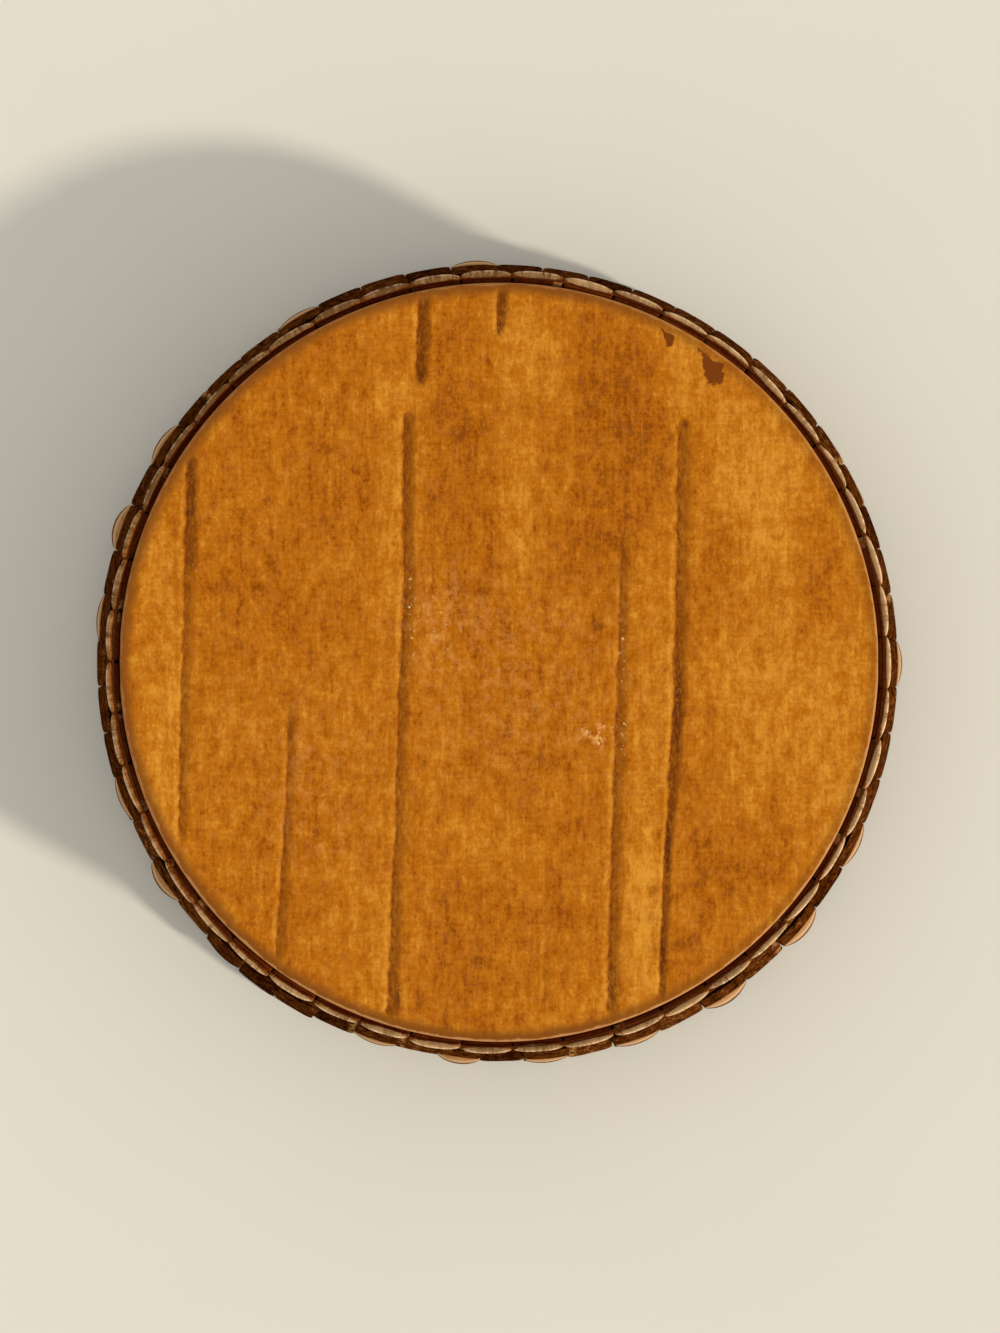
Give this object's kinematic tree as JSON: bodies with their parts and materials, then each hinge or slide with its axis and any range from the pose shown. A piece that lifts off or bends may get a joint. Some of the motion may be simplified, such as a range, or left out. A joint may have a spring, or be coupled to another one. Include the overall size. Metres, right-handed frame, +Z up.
{
  "type": "birch bark box",
  "caption": "Low round birch bark box with a plaited spreading base wall and a plaited lid that slips over an inner collar.",
  "frame": {"origin": "centre of the underside, on the surface that the box stands on", "axes": "+Z up through the lid, +X to the right and +Y to the top of the picture"},
  "size_m": [0.1064, 0.1068, 0.0245],
  "materials": {
    "bark_polished": "polished, lacquered birch bark",
    "bark_sheet": "plain birch bark sheet",
    "bark_lining": "plain inner side of birch bark",
    "bark_hoop": "plain birch bark strip",
    "bark_dark": "stained birch bark strip with pale cut edges",
    "bark_pale": "pale worn birch bark strip"
  },
  "bodies": {
    "base": {"base_bottom_disc": "bark_sheet", "base_floor_disc": "bark_lining", "base_collar_band": "bark_lining", "base_foot_hoop": "bark_hoop", "base_woven_strip": "bark_pale", "base_rim_hoop": "bark_hoop", "base_looped_uprights": "bark_dark", "base_plain_uprights": "bark_dark"},
    "lid": {"lid_face_disc": "bark_polished", "lid_backing_disc": "bark_sheet", "lid_lining_band": "bark_lining", "lid_hoop": "bark_hoop", "lid_uprights": "bark_pale"}
  },
  "joints": [
    {"name": "lid_lift", "type": "slide", "parent": "base", "child": "lid", "axis": [0, 0, 1], "range_m": [0, 0.03]}
  ]
}
